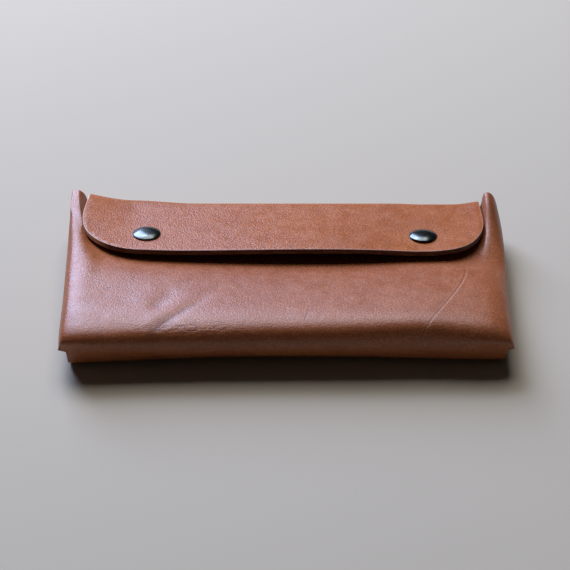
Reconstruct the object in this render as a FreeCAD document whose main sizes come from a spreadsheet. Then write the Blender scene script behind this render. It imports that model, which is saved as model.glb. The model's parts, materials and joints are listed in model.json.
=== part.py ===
import FreeCAD, Part
import math
import os
import Sketcher

# A folding leather case for fountain pens, closed by a flap with two press studs.
# It lies on its back: +X to the right, +Y from the base to the mouth, +Z up.
# The origin is under the middle of the case, in the plane that the back lies on.

# Driving dimensions, in millimetres and degrees.
SIZES = {
    # Leather and fits
    "leather": "2.4",
    "gusset_leather": "1.4",
    "fit_gap": "0.1",
    # Strip of hide that makes the base and the back
    "case_depth": "101.8",
    "strip_width": "184",
    "base_height": "23",
    "base_top_roll": "8",
    "base_bottom_roll": "13",
    # Front panel, at the base, at its bend and at the mouth
    "front_width": "190",
    "mouth_width": "195",
    "front_bend_depth": "45",
    "front_depth": "95.5",
    "wing_setback": "1.2",
    "wing_tip_height": "10",
    "base_shoulder": "8",
    "base_side_roll": "8",
    "bend_side_roll": "4",
    "mouth_side_roll": "3",
    "bend_ridge_height": "22.6",
    "mouth_ridge_height": "23",
    "bend_ridge_slope": "70",
    "mouth_ridge_slope": "80",
    "scoop_width": "175",
    "scoop_depth": "3",
    # Flap and the fold that carries it
    "flap_tilt": "8",
    "flap_width": "178",
    "flap_length": "41",
    "flap_corner": "22",
    "fold_radius": "8.25",
    "fold_end_angle": "45",
    # Gussets
    "gusset_near_depth": "13.5",
    "gusset_far_depth": "91.5",
    "gusset_top_height": "14.3",
    "near_tuck_height": "9.6",
    "far_tuck_height": "6.4",
    "near_pleat_height": "7.4",
    "far_pleat_height": "5.2",
    "gusset_pleat_run": "5.4",
    "gusset_flange_width": "7",
    "gusset_flange_inset": "0.9",
    # Gusset rivets
    "near_rivet_depth": "25",
    "far_rivet_depth": "80",
    "rivet_disc_radius": "2.5",
    "rivet_disc_depth": "0.8",
    "rivet_post_radius": "1.2",
    "rivet_cap_radius": "2.6",
    "rivet_cap_rim": "0.4",
    "rivet_cap_height": "1.2",
    "rivet_cap_crown": "0.5",
    # Press studs: places
    "snap_spacing": "123",
    "snap_inset": "13",
    # Press studs: cap on the flap
    "cap_radius": "6.25",
    "cap_rim": "0.7",
    "cap_height": "2.1",
    "cap_post_radius": "1.6",
    "cap_clinch_radius": "2.3",
    "cap_clinch_depth": "0.25",
    # Press studs: socket and spring ring under the flap
    "socket_radius": "5.3",
    "socket_height": "2.9",
    "socket_wall": "0.6",
    "socket_mouth_radius": "3.2",
    "socket_lip": "0.25",
    "socket_groove_radius": "3.7",
    "socket_groove_height": "0.7",
    "ring_radius": "3.1",
    "ring_wire_radius": "0.28",
    "ring_opening": "25",
    # Press studs: stud and post on the front panel
    "stud_flange_radius": "4.8",
    "stud_flange": "0.7",
    "stud_neck_radius": "2.4",
    "stud_neck_height": "1.05",
    "stud_head_radius": "2.9",
    "stud_head_height": "0.75",
    "stud_chamfer": "0.25",
    "post_radius": "1.55",
    "post_bore_radius": "1.1",
    "post_flange_radius": "4.5",
    "post_flange": "0.6",
    "post_rim_radius": "2.2",
    "post_rim": "0.15",
}

# Places that follow from the driving dimensions.
LAYOUT = {
    "base_y": "=-Sizes.case_depth / 2",
    "roll_y": "=base_y + Sizes.base_top_roll",
    "back_y": "=base_y + Sizes.base_bottom_roll",
    "bend_y": "=base_y + Sizes.front_bend_depth",
    "mouth_y": "=base_y + Sizes.front_depth",
    "wing_y": "=base_y + Sizes.wing_setback",
    "fold_y": "=Sizes.case_depth / 2 - Sizes.fold_radius",
    "fold_inner": "=Sizes.fold_radius - Sizes.leather",
    "tilt_sin": "=sin(Sizes.flap_tilt * 1 deg)",
    "tilt_cos": "=cos(Sizes.flap_tilt * 1 deg)",
    # Heights along a press stud's axis, measured from the front panel's outer face
    "stud_head_s": "=Sizes.stud_flange + Sizes.stud_neck_height",
    "stud_top_s": "=stud_head_s + Sizes.stud_head_height",
    "socket_s": "=Sizes.stud_flange + Sizes.fit_gap",
    "groove_s": "=socket_s + Sizes.socket_lip",
    "groove_top_s": "=groove_s + Sizes.socket_groove_height",
    "ring_s": "=groove_s + Sizes.socket_groove_height / 2 - 0.5 * Sizes.fit_gap",
    "flap_s": "=socket_s + Sizes.socket_height",
    "socket_roof_s": "=flap_s - Sizes.socket_wall",
    "cap_s": "=flap_s + Sizes.leather",
    "cap_dome": "=(Sizes.cap_radius ^ 2 + (Sizes.cap_height - Sizes.cap_rim) ^ 2)"
                " / (2 * (Sizes.cap_height - Sizes.cap_rim))",
    "snap_x": "=Sizes.snap_spacing / 2",
    "snap_run": "=Sizes.flap_length - Sizes.snap_inset",
    "seat_radius": "=fold_inner - flap_s",
    "snap_y": "=fold_y + seat_radius * tilt_sin - snap_run * tilt_cos",
    "snap_z": "=Sizes.fold_radius + seat_radius * tilt_cos + snap_run * tilt_sin",
    # Sections of the front panel. Beyond its bend the panel lies parallel to the flap.
    "front_slope": "=tilt_sin / tilt_cos",
    "base_mid": "=Sizes.base_height",
    "bend_mid": "=Sizes.fold_radius + (seat_radius + (fold_y - bend_y) * tilt_sin) / tilt_cos",
    "mouth_mid": "=bend_mid - (mouth_y - bend_y) * front_slope",
    "side_flare": "=(Sizes.mouth_width - Sizes.front_width) / 2 / (mouth_y - roll_y)",
    "base_half": "=Sizes.front_width / 2",
    "bend_half": "=base_half + side_flare * (bend_y - roll_y)",
    "mouth_half": "=Sizes.mouth_width / 2",
    "base_top": "=Sizes.base_height",
    "bend_top": "=Sizes.bend_ridge_height",
    "mouth_top": "=Sizes.mouth_ridge_height",
    # Angles of the fold's two hinge lines about the middle of the fold
    "lower_hinge_angle": "=Sizes.fold_end_angle - 90",
    "upper_hinge_angle": "=90 - Sizes.flap_tilt - Sizes.fold_end_angle",
    "fold_gap_angle": "=Sizes.fit_gap / fold_inner * 180 / pi",
    # Gusset rivets
    "back_narrowing": "=(Sizes.strip_width - Sizes.flap_width) / 2 / (fold_y - back_y)",
    "rivet_seat": "=Sizes.leather + Sizes.gusset_leather",
    "rivet_post_top": "=rivet_seat + Sizes.rivet_cap_height - Sizes.rivet_cap_crown",
    "rivet_dome": "=(Sizes.rivet_cap_radius ^ 2 + (Sizes.rivet_cap_height - Sizes.rivet_cap_rim) ^ 2)"
                  " / (2 * (Sizes.rivet_cap_height - Sizes.rivet_cap_rim))",
}

doc = FreeCAD.newDocument("pen_case")


def fill_sheet(name, rows):
    """Make a spreadsheet whose cells have the rows' names as aliases."""
    sheet = doc.addObject("Spreadsheet::Sheet", name)
    for row, (alias, content) in enumerate(rows.items(), start=1):
        sheet.set("A%d" % row, alias)
        sheet.set("B%d" % row, content)
        sheet.setAlias("B%d" % row, alias)
    doc.recompute()
    return sheet


sizes = fill_sheet("Sizes", SIZES)
fill_sheet("Layout", LAYOUT)


def number(expression):
    """The present value of an expression on the two sheets."""
    return float(sizes.evalExpression(expression))


def new_body(label):
    """An empty body named for the piece that it makes."""
    body = doc.addObject("PartDesign::Body", label)
    body.Label = label
    return body


def arc_between(start, end, radius, turn):
    """The shorter arc from start to end, turning left or right."""
    along = end - start
    middle = (start + end) * 0.5
    left = FreeCAD.Vector(-along.y, along.x, 0).normalize()
    rise = math.sqrt(max(radius ** 2 - (along.Length / 2) ** 2, 0))
    centre = middle + left * (rise if turn == "left" else -rise)
    first, last = (start, end) if turn == "left" else (end, start)
    angles = [math.atan2(point.y - centre.y, point.x - centre.x) for point in (first, last)]
    if angles[1] < angles[0]:
        angles[1] += 2 * math.pi
    return Part.ArcOfCircle(Part.Circle(centre, FreeCAD.Vector(0, 0, 1), radius), *angles)


def closed_sketch(body, name, plane_role, corners, offset=None):
    """A closed outline on one of the body's origin planes.

    A corner is (x, y), or (x, y, radius, turn) where an arc leads to the next corner. All are expressions.
    """
    sketch = body.newObject("Sketcher::SketchObject", name)
    plane = next(feature for feature in body.Origin.OriginFeatures if feature.Role == plane_role)
    sketch.AttachmentSupport = [(plane, "")]
    sketch.MapMode = "FlatFace"
    if offset:
        sketch.setExpression("AttachmentOffset.Base.z", offset)
    points = [FreeCAD.Vector(number(corner[0]), number(corner[1]), 0) for corner in corners]
    ends = []
    for index, corner in enumerate(corners):
        start, end = points[index], points[(index + 1) % len(points)]
        if len(corner) == 4:
            sketch.addGeometry(arc_between(start, end, number(corner[2]), corner[3]), False)
            ends.append((1, 2) if corner[3] == "left" else (2, 1))
        else:
            sketch.addGeometry(Part.LineSegment(start, end), False)
            ends.append((1, 2))
    for index in range(len(corners)):
        following = (index + 1) % len(corners)
        sketch.addConstraint(Sketcher.Constraint("Coincident", index, ends[index][1], following, ends[following][0]))
    for index, corner in enumerate(corners):
        bind(sketch, "DistanceX", index, ends[index][0], points[index].x, corner[0])
        bind(sketch, "DistanceY", index, ends[index][0], points[index].y, corner[1])
        if len(corner) == 4:
            row = sketch.addConstraint(Sketcher.Constraint("Radius", index, number(corner[2])))
            sketch.setExpression("Constraints[%d]" % row, corner[2])
    return sketch


def bind(sketch, kind, edge, end, value, expression):
    """Tie one coordinate of an edge's end to an expression."""
    row = sketch.addConstraint(Sketcher.Constraint(kind, edge, end, value))
    sketch.setExpression("Constraints[%d]" % row, expression)


def pad(body, sketch, length):
    """Pad a sketch to both sides of its plane."""
    feature = body.newObject("PartDesign::Pad", sketch.Name + "_pad")
    feature.Profile = sketch
    feature.Midplane = True
    feature.setExpression("Length", length)
    return feature


def turned(label, corners):
    """A body turned about Z from an outline of radius and height."""
    body = new_body(label)
    sketch = closed_sketch(body, label + "_profile", "XZ_Plane", corners)
    feature = body.newObject("PartDesign::Revolution", label + "_turn")
    feature.Profile = sketch
    feature.ReferenceAxis = (sketch, ["V_Axis"])
    feature.Angle = 360
    return body


def cylinder(name, radius, height):
    """A cylinder that stands on the origin."""
    tool = doc.addObject("Part::Cylinder", name)
    tool.setExpression("Radius", radius)
    tool.setExpression("Height", height)
    return tool


def box(name, low, high):
    """A box between two corners, given as expressions."""
    tool = doc.addObject("Part::Box", name)
    for side, axis, start, end in zip(("Length", "Width", "Height"), "xyz", low, high):
        tool.setExpression(side, "(%s) - (%s)" % (end, start))
        tool.setExpression("Placement.Base.%s" % axis, start)
    return tool


def combine(kind, label, first, second):
    """A Part boolean of two objects."""
    result = doc.addObject(kind, label)
    result.Base = first
    result.Tool = second
    result.Label = label
    return result


def together(label, pieces):
    """Several objects as one compound."""
    group = doc.addObject("Part::Compound", label)
    group.Links = pieces
    group.Label = label
    return group


def put(piece, x, y, z):
    """Place a piece by expressions."""
    for axis, value in zip("xyz", (x, y, z)):
        piece.setExpression("Placement.Base.%s" % axis, value)


def lean(piece, x, y, z):
    """Place a piece and lean it back with the flap."""
    piece.Placement = FreeCAD.Placement(FreeCAD.Vector(), FreeCAD.Rotation(FreeCAD.Vector(1, 0, 0), -1))
    piece.setExpression("Placement.Rotation.Angle", "-Sizes.flap_tilt")
    put(piece, x, y, z)


SIDES = {"left": "-", "right": ""}
parts = []

# Base: a strip that rolls from the front panel down to the back
base_blank = new_body("base_blank")
base_profile = closed_sketch(base_blank, "base_profile", "YZ_Plane", [
    ("Layout.back_y", "0", "Sizes.base_bottom_roll", "right"),
    ("Layout.base_y", "Sizes.base_bottom_roll"),
    ("Layout.base_y", "Sizes.base_height - Sizes.base_top_roll", "Sizes.base_top_roll", "right"),
    ("Layout.roll_y", "Sizes.base_height"),
    ("Layout.roll_y", "Sizes.base_height - Sizes.leather", "Sizes.base_top_roll - Sizes.leather", "left"),
    ("Layout.base_y + Sizes.leather", "Sizes.base_height - Sizes.base_top_roll"),
    ("Layout.base_y + Sizes.leather", "Sizes.base_bottom_roll", "Sizes.base_bottom_roll - Sizes.leather", "left"),
    ("Layout.back_y", "Sizes.leather"),
])
pad(base_blank, base_profile, "Sizes.strip_width")

# The base's upper corners drop with the rolled side edges of the front panel
corner_outline = new_body("corner_outline")
corner_profile = closed_sketch(corner_outline, "corner_profile", "XZ_Plane", [
    ("-Layout.base_half", "-Sizes.leather"),
    ("Layout.base_half", "-Sizes.leather"),
    ("Layout.base_half", "Sizes.base_height - Sizes.base_side_roll", "Sizes.base_side_roll", "left"),
    ("Layout.base_half - Sizes.base_side_roll", "Sizes.base_height"),
    ("-Layout.base_half + Sizes.base_side_roll", "Sizes.base_height", "Sizes.base_side_roll", "left"),
    ("-Layout.base_half", "Sizes.base_height - Sizes.base_side_roll"),
])
pad(corner_outline, corner_profile, "2 * Sizes.case_depth")
parts.append(combine("Part::Common", "base_panel", base_blank, corner_outline))


# Front panel: a loft through sections at the wing ends, the base roll, the bend and the mouth
def section_points(name, slope):
    """Shoulder and toe of the ridge in one section, on the outer and the inner face."""
    half = "Layout.%s_half" % name
    roll = "Sizes.%s_side_roll" % name
    top = "Layout.%s_top" % name
    middle = "Layout.%s_mid" % name
    points = []
    for inset in ("0", "Sizes.leather"):
        shoulder_x = "%s - %s - (%s - %s) * sin(%s * 1 deg)" % (half, roll, roll, inset, slope)
        shoulder_z = "%s - %s + (%s - %s) * cos(%s * 1 deg)" % (top, roll, roll, inset, slope)
        if slope == "0":
            toe_x = "%s - Sizes.base_shoulder" % shoulder_x
        else:
            drop = "(%s - %s + %s)" % (shoulder_z, middle, inset)
            toe_x = "%s - %s / tan(%s * 1 deg)" % (shoulder_x, drop, slope)
        points.append(((shoulder_x, shoulder_z), (toe_x, "%s - %s" % (middle, inset))))
    return points


def front_section(body, sketch_name, name, slope, y):
    """One section of the front panel, from the right wing tip round to it again."""
    half = "Layout.%s_half" % name
    roll = "Sizes.%s_side_roll" % name
    inner_half = half + " - Sizes.leather"
    inner_roll = roll + " - Sizes.leather"
    side_top = "Layout.%s_top - %s" % (name, roll)
    (shoulder, toe), (inner_shoulder, inner_toe) = section_points(name, slope)

    def mirrored(x):
        return "-(%s)" % x

    corners = [
        (half, "Sizes.wing_tip_height"),
        (half, side_top, roll, "left"),
        shoulder,
        toe,
        (mirrored(toe[0]), toe[1]),
        (mirrored(shoulder[0]), shoulder[1], roll, "left"),
        (mirrored(half), side_top),
        (mirrored(half), "Sizes.wing_tip_height"),
        (mirrored(inner_half), "Sizes.wing_tip_height"),
        (mirrored(inner_half), side_top, inner_roll, "right"),
        (mirrored(inner_shoulder[0]), inner_shoulder[1]),
        (mirrored(inner_toe[0]), inner_toe[1]),
        inner_toe,
        (inner_shoulder[0], inner_shoulder[1], inner_roll, "right"),
        (inner_half, side_top),
        (inner_half, "Sizes.wing_tip_height"),
    ]
    return closed_sketch(body, sketch_name, "XZ_Plane", corners, "-(%s)" % y)


front_blank = new_body("front_blank")
front_sections = [
    front_section(front_blank, "wing_section", "base", "0", "Layout.wing_y"),
    front_section(front_blank, "roll_section", "base", "0", "Layout.roll_y"),
    front_section(front_blank, "bend_section", "bend", "Sizes.bend_ridge_slope", "Layout.bend_y"),
    front_section(front_blank, "mouth_section", "mouth", "Sizes.mouth_ridge_slope", "Layout.mouth_y"),
]
front_loft = front_blank.newObject("PartDesign::AdditiveLoft", "front_loft")
front_loft.Profile = front_sections[0]
front_loft.Sections = front_sections[1:]
front_loft.Ruled = True

# The near ends of the wings are round, like the base's roll
wing_outline = new_body("wing_outline")
wing_profile = closed_sketch(wing_outline, "wing_profile", "YZ_Plane", [
    ("Layout.base_y", "-Sizes.leather"),
    ("Sizes.case_depth", "-Sizes.leather"),
    ("Sizes.case_depth", "2 * Sizes.base_height"),
    ("Layout.roll_y", "2 * Sizes.base_height"),
    ("Layout.roll_y", "Sizes.base_height", "Sizes.base_top_roll", "left"),
    ("Layout.base_y", "Sizes.base_height - Sizes.base_top_roll"),
])
pad(wing_outline, wing_profile, "2 * Sizes.mouth_width")
front_round = combine("Part::Common", "front_round", front_blank, wing_outline)

# Room for the base, the scoop of the mouth and the holes of the press studs
base_room = box(
    "base_room",
    ("-Sizes.strip_width / 2 - Sizes.fit_gap", "Layout.base_y - Sizes.leather", "-Sizes.leather"),
    ("Sizes.strip_width / 2 + Sizes.fit_gap", "Layout.roll_y + Sizes.fit_gap", "2 * Sizes.base_height"),
)
mouth_scoop = box(
    "mouth_scoop",
    ("-Sizes.scoop_width / 2", "Layout.mouth_y - Sizes.scoop_depth", "-Sizes.leather"),
    ("Sizes.scoop_width / 2", "Layout.mouth_y + Sizes.leather", "2 * Sizes.base_height"),
)
front_cuts = [base_room, mouth_scoop]
for side, sign in SIDES.items():
    hole = cylinder(side + "_post_hole", "Sizes.post_radius + Sizes.fit_gap", "4 * Sizes.leather")
    lean(
        hole,
        sign + "Layout.snap_x",
        "Layout.snap_y - 2 * Sizes.leather * Layout.tilt_sin",
        "Layout.snap_z - 2 * Sizes.leather * Layout.tilt_cos",
    )
    front_cuts.append(hole)
parts.append(combine("Part::Cut", "front_panel", front_round, together("front_cuts", front_cuts)))


# Fold and flap: outlines about the middle of the fold
def on_fold(radius, angle):
    """A point on the fold, in its own section."""
    return "%s * cos((%s) * 1 deg)" % (radius, angle), "%s * sin((%s) * 1 deg)" % (radius, angle)


FOLD = ("Sizes.fold_radius", "Layout.fold_inner")

# Back: a flat panel that narrows towards the mouth, with the start of the fold at its far end
back = new_body("back_panel")
back_outline = closed_sketch(back, "back_outline", "XY_Plane", [
    ("-Sizes.strip_width / 2", "Layout.back_y"),
    ("Sizes.strip_width / 2", "Layout.back_y"),
    ("Sizes.flap_width / 2", "Layout.fold_y"),
    ("-Sizes.flap_width / 2", "Layout.fold_y"),
])
back_sheet = back.newObject("PartDesign::Pad", "back_sheet")
back_sheet.Profile = back_outline
back_sheet.setExpression("Length", "Sizes.leather")
lip_outer = on_fold(FOLD[0], "Layout.lower_hinge_angle")
lip_inner = on_fold(FOLD[1], "Layout.lower_hinge_angle")
back_lip = closed_sketch(back, "back_lip", "YZ_Plane", [
    ("Layout.fold_y", "0", FOLD[0], "left"),
    ("Layout.fold_y + " + lip_outer[0], "Sizes.fold_radius + " + lip_outer[1]),
    ("Layout.fold_y + " + lip_inner[0], "Sizes.fold_radius + " + lip_inner[1], FOLD[1], "right"),
    ("Layout.fold_y", "Sizes.leather"),
])
pad(back, back_lip, "Sizes.flap_width")

# Fold: the bend of leather behind the mouth, between its two hinge lines
fold = new_body("flap_fold")
fold_angles = (
    "Layout.lower_hinge_angle + Layout.fold_gap_angle",
    "Layout.upper_hinge_angle - Layout.fold_gap_angle",
)
fold_profile = closed_sketch(fold, "fold_profile", "YZ_Plane", [
    on_fold(FOLD[0], fold_angles[0]) + (FOLD[0], "left"),
    on_fold(FOLD[0], fold_angles[1]),
    on_fold(FOLD[1], fold_angles[1]) + (FOLD[1], "right"),
    on_fold(FOLD[1], fold_angles[0]),
])
pad(fold, fold_profile, "Sizes.flap_width")
put(fold, "0", "Layout.fold_y", "Sizes.fold_radius")
parts.append(fold)

# Flap: the end of the fold and a flat panel with round corners, made level and then leaned back
flap = new_body("flap")
flap_end = "90 - Sizes.fold_end_angle"
flap_profile = closed_sketch(flap, "flap_profile", "YZ_Plane", [
    ("-Sizes.flap_length", FOLD[1]),
    ("0", FOLD[1], FOLD[1], "right"),
    on_fold(FOLD[1], flap_end),
    on_fold(FOLD[0], flap_end) + (FOLD[0], "left"),
    ("0", FOLD[0]),
    ("-Sizes.flap_length", FOLD[0]),
])
flap_sheet = pad(flap, flap_profile, "Sizes.flap_width")
doc.recompute()


def is_front_corner(edge):
    """Whether an edge of the flap stands upright at one of its front corners."""
    low, high = edge.Vertexes[0].Point, edge.Vertexes[-1].Point
    upright = abs(low.x - high.x) + abs(low.y - high.y) < 1e-6
    return upright and abs(low.y + number("Sizes.flap_length")) < 1e-6


corner_edges = [
    "Edge%d" % index
    for index, edge in enumerate(flap_sheet.Shape.Edges, start=1)
    if is_front_corner(edge)
]
flap_round = flap.newObject("PartDesign::Fillet", "flap_round")
flap_round.Base = (flap_sheet, corner_edges)
flap_round.setExpression("Radius", "Sizes.flap_corner")
lean(flap, "0", "Layout.fold_y", "Sizes.fold_radius")
doc.recompute()

flap_holes = []
for side, sign in SIDES.items():
    hole = cylinder(side + "_cap_hole", "Sizes.cap_post_radius + Sizes.fit_gap", "4 * Sizes.leather")
    lean(
        hole,
        sign + "Layout.snap_x",
        "Layout.snap_y + (Layout.flap_s - Sizes.leather) * Layout.tilt_sin",
        "Layout.snap_z + (Layout.flap_s - Sizes.leather) * Layout.tilt_cos",
    )
    flap_holes.append(hole)
flap.Label = "flap_blank"
parts.append(combine("Part::Cut", "flap", flap, together("flap_holes", flap_holes)))


# Gussets: thin strips with one pleat inwards, from the rolled side edge to the back
def band(line, thickness):
    """The outline of a strip of one thickness along an open line, with mitred corners."""
    left, right = [], []
    for index, point in enumerate(line):
        before = (point - line[index - 1]).normalize() if index else None
        after = (line[index + 1] - point).normalize() if index + 1 < len(line) else None
        ways = [way for way in (before, after) if way]
        normals = [FreeCAD.Vector(-way.z, 0, way.x) for way in ways]
        miter = sum(normals, FreeCAD.Vector()).normalize()
        reach = thickness / 2 / miter.dot(normals[0])
        left.append(point + miter * reach)
        right.append(point - miter * reach)
    return left + right[::-1]


def back_half_width(depth):
    """Half the back's width at a depth from the base."""
    y = number("Layout.base_y") + depth
    return number("Sizes.strip_width") / 2 - number("Layout.back_narrowing") * (y - number("Layout.back_y"))


def gusset_outline(end, sign):
    """The gusset's section at its near or far end, as a closed wire."""
    thickness = number("Sizes.gusset_leather")
    depth = number("Sizes.gusset_%s_depth" % end)
    y = number("Layout.base_y") + depth
    flare = number("Layout.side_flare") * (y - number("Layout.roll_y"))
    wall = number("Layout.base_half") + flare - number("Sizes.leather") - number("Sizes.fit_gap") - thickness / 2
    floor = number("Sizes.leather") + thickness / 2
    flange = back_half_width(depth) - number("Sizes.gusset_flange_inset")
    heel = flange - number("Sizes.gusset_flange_width")
    pleat = heel - number("Sizes.gusset_pleat_run")
    line = [
        FreeCAD.Vector(sign * wall, y, number("Sizes.gusset_top_height")),
        FreeCAD.Vector(sign * wall, y, number("Sizes.%s_tuck_height" % end)),
        FreeCAD.Vector(sign * pleat, y, number("Sizes.%s_pleat_height" % end)),
        FreeCAD.Vector(sign * heel, y, floor),
        FreeCAD.Vector(sign * flange, y, floor),
    ]
    outline = band(line, thickness)
    return Part.makePolygon(outline + outline[:1])


def rivet_place(depth, sign):
    """Where a rivet stands on the back: the middle of the gusset's flange."""
    flange = back_half_width(depth) - number("Sizes.gusset_flange_inset")
    x = sign * (flange - number("Sizes.gusset_flange_width") / 2)
    return FreeCAD.Vector(x, number("Layout.base_y") + depth, 0)


RIVETS = {"near": number("Sizes.near_rivet_depth"), "far": number("Sizes.far_rivet_depth")}
rivet_places = {}
for side, sign in SIDES.items():
    direction = float(sign + "1")
    rivet_places[side] = [rivet_place(depth, direction) for depth in RIVETS.values()]
    strip = Part.makeLoft([gusset_outline(end, direction) for end in RIVETS], True, True)
    for spot in rivet_places[side]:
        radius = number("Sizes.rivet_post_radius + Sizes.fit_gap")
        strip = strip.cut(Part.makeCylinder(radius, number("Layout.rivet_seat + Sizes.fit_gap"), spot))
    gusset = doc.addObject("Part::Feature", side + "_gusset")
    gusset.Shape = strip
    gusset.Label = side + "_gusset"
    parts.append(gusset)

# Rivets: a post with a flat disc let into the back, and a domed cap on the gusset's flange
RIVET_POST = [
    ("0", "0"),
    ("Sizes.rivet_disc_radius", "0"),
    ("Sizes.rivet_disc_radius", "Sizes.rivet_disc_depth"),
    ("Sizes.rivet_post_radius", "Sizes.rivet_disc_depth"),
    ("Sizes.rivet_post_radius", "Layout.rivet_post_top"),
    ("0", "Layout.rivet_post_top"),
]
RIVET_CAP = [
    ("Sizes.rivet_post_radius + Sizes.fit_gap", "Layout.rivet_seat"),
    ("Sizes.rivet_cap_radius", "Layout.rivet_seat"),
    ("Sizes.rivet_cap_radius", "Layout.rivet_seat + Sizes.rivet_cap_rim", "Layout.rivet_dome", "left"),
    ("0", "Layout.rivet_seat + Sizes.rivet_cap_height"),
    ("0", "Layout.rivet_post_top"),
    ("Sizes.rivet_post_radius + Sizes.fit_gap", "Layout.rivet_post_top"),
]
back_cuts = []
for side in SIDES:
    for piece, outline in (("posts", RIVET_POST), ("caps", RIVET_CAP)):
        rivets = []
        for end, spot in zip(RIVETS, rivet_places[side]):
            rivet = turned("%s_%s_rivet_%s" % (side, end, piece), outline)
            rivet.Placement.Base = spot
            rivets.append(rivet)
        parts.append(together("%s_rivet_%s" % (side, piece), rivets))
    for end, spot in zip(RIVETS, rivet_places[side]):
        name = "%s_%s_rivet" % (side, end)
        bore = cylinder(name + "_bore", "Sizes.rivet_post_radius + Sizes.fit_gap", "2 * Sizes.leather")
        recess = cylinder(name + "_recess", "Sizes.rivet_disc_radius + Sizes.fit_gap", "Sizes.rivet_disc_depth")
        for tool in (bore, recess):
            tool.Placement.Base = spot
        back_cuts += [bore, recess]
back.Label = "back_blank"
parts.append(combine("Part::Cut", "back_panel", back, together("back_cuts", back_cuts)))

# Press studs: every piece is drawn on the stud's axis, from the front panel's outer face upwards
SNAP_PIECES = {
    "snap_cap": [
        ("0", "Layout.socket_roof_s - Sizes.cap_clinch_depth"),
        ("Sizes.cap_clinch_radius", "Layout.socket_roof_s - Sizes.cap_clinch_depth"),
        ("Sizes.cap_clinch_radius", "Layout.socket_roof_s"),
        ("Sizes.cap_post_radius", "Layout.socket_roof_s"),
        ("Sizes.cap_post_radius", "Layout.cap_s"),
        ("Sizes.cap_radius", "Layout.cap_s"),
        ("Sizes.cap_radius", "Layout.cap_s + Sizes.cap_rim", "Layout.cap_dome", "left"),
        ("0", "Layout.cap_s + Sizes.cap_height"),
    ],
    "snap_socket": [
        ("Sizes.socket_mouth_radius", "Layout.socket_s"),
        ("Sizes.socket_radius", "Layout.socket_s"),
        ("Sizes.socket_radius", "Layout.flap_s"),
        ("Sizes.cap_post_radius + Sizes.fit_gap", "Layout.flap_s"),
        ("Sizes.cap_post_radius + Sizes.fit_gap", "Layout.socket_roof_s"),
        ("Sizes.socket_mouth_radius", "Layout.socket_roof_s"),
        ("Sizes.socket_mouth_radius", "Layout.groove_top_s"),
        ("Sizes.socket_groove_radius", "Layout.groove_top_s"),
        ("Sizes.socket_groove_radius", "Layout.groove_s"),
        ("Sizes.socket_mouth_radius", "Layout.groove_s"),
    ],
    "snap_stud": [
        ("Sizes.post_radius + Sizes.fit_gap", "0"),
        ("Sizes.stud_flange_radius", "0"),
        ("Sizes.stud_flange_radius", "Sizes.stud_flange"),
        ("Sizes.stud_neck_radius", "Sizes.stud_flange"),
        ("Sizes.stud_neck_radius", "Layout.stud_head_s"),
        ("Sizes.stud_head_radius", "Layout.stud_head_s"),
        ("Sizes.stud_head_radius", "Layout.stud_top_s - Sizes.stud_chamfer"),
        ("Sizes.stud_head_radius - Sizes.stud_chamfer", "Layout.stud_top_s"),
        ("Sizes.post_radius + Sizes.fit_gap", "Layout.stud_top_s"),
    ],
    "snap_post": [
        ("Sizes.post_bore_radius", "-Sizes.leather - Sizes.post_flange"),
        ("Sizes.post_flange_radius", "-Sizes.leather - Sizes.post_flange"),
        ("Sizes.post_flange_radius", "-Sizes.leather"),
        ("Sizes.post_radius", "-Sizes.leather"),
        ("Sizes.post_radius", "Layout.stud_top_s"),
        ("Sizes.post_rim_radius", "Layout.stud_top_s"),
        ("Sizes.post_rim_radius", "Layout.stud_top_s + Sizes.post_rim"),
        ("Sizes.post_bore_radius", "Layout.stud_top_s + Sizes.post_rim"),
    ],
}
for side, sign in SIDES.items():
    for name, outline in SNAP_PIECES.items():
        piece = turned("%s_%s" % (side, name), outline)
        lean(piece, sign + "Layout.snap_x", "Layout.snap_y", "Layout.snap_z")
        parts.append(piece)
    spring = doc.addObject("Part::Torus", side + "_snap_spring")
    spring.Label = side + "_snap_spring"
    spring.setExpression("Radius1", "Sizes.ring_radius")
    spring.setExpression("Radius2", "Sizes.ring_wire_radius")
    spring.setExpression("Angle3", "360 - Sizes.ring_opening")
    lean(
        spring,
        sign + "Layout.snap_x",
        "Layout.snap_y + Layout.ring_s * Layout.tilt_sin",
        "Layout.snap_z + Layout.ring_s * Layout.tilt_cos",
    )
    parts.append(spring)

doc.recompute()

# Nothing is written unless every object built
for item in doc.Objects:
    if {"Invalid", "Error"} & set(item.State):
        raise RuntimeError("%s did not build: %s" % (item.Label, item.State))
for piece in parts:
    if piece.Shape.isNull() or not piece.Shape.isValid() or not piece.Shape.Solids:
        raise RuntimeError("%s has no valid solid" % piece.Label)

os.makedirs("parts", exist_ok=True)
for piece in parts:
    piece.Shape.exportStep("parts/%s.step" % piece.Label)
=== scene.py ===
import bmesh
import bpy
import json
import math
from mathutils import Matrix, Vector

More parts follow.
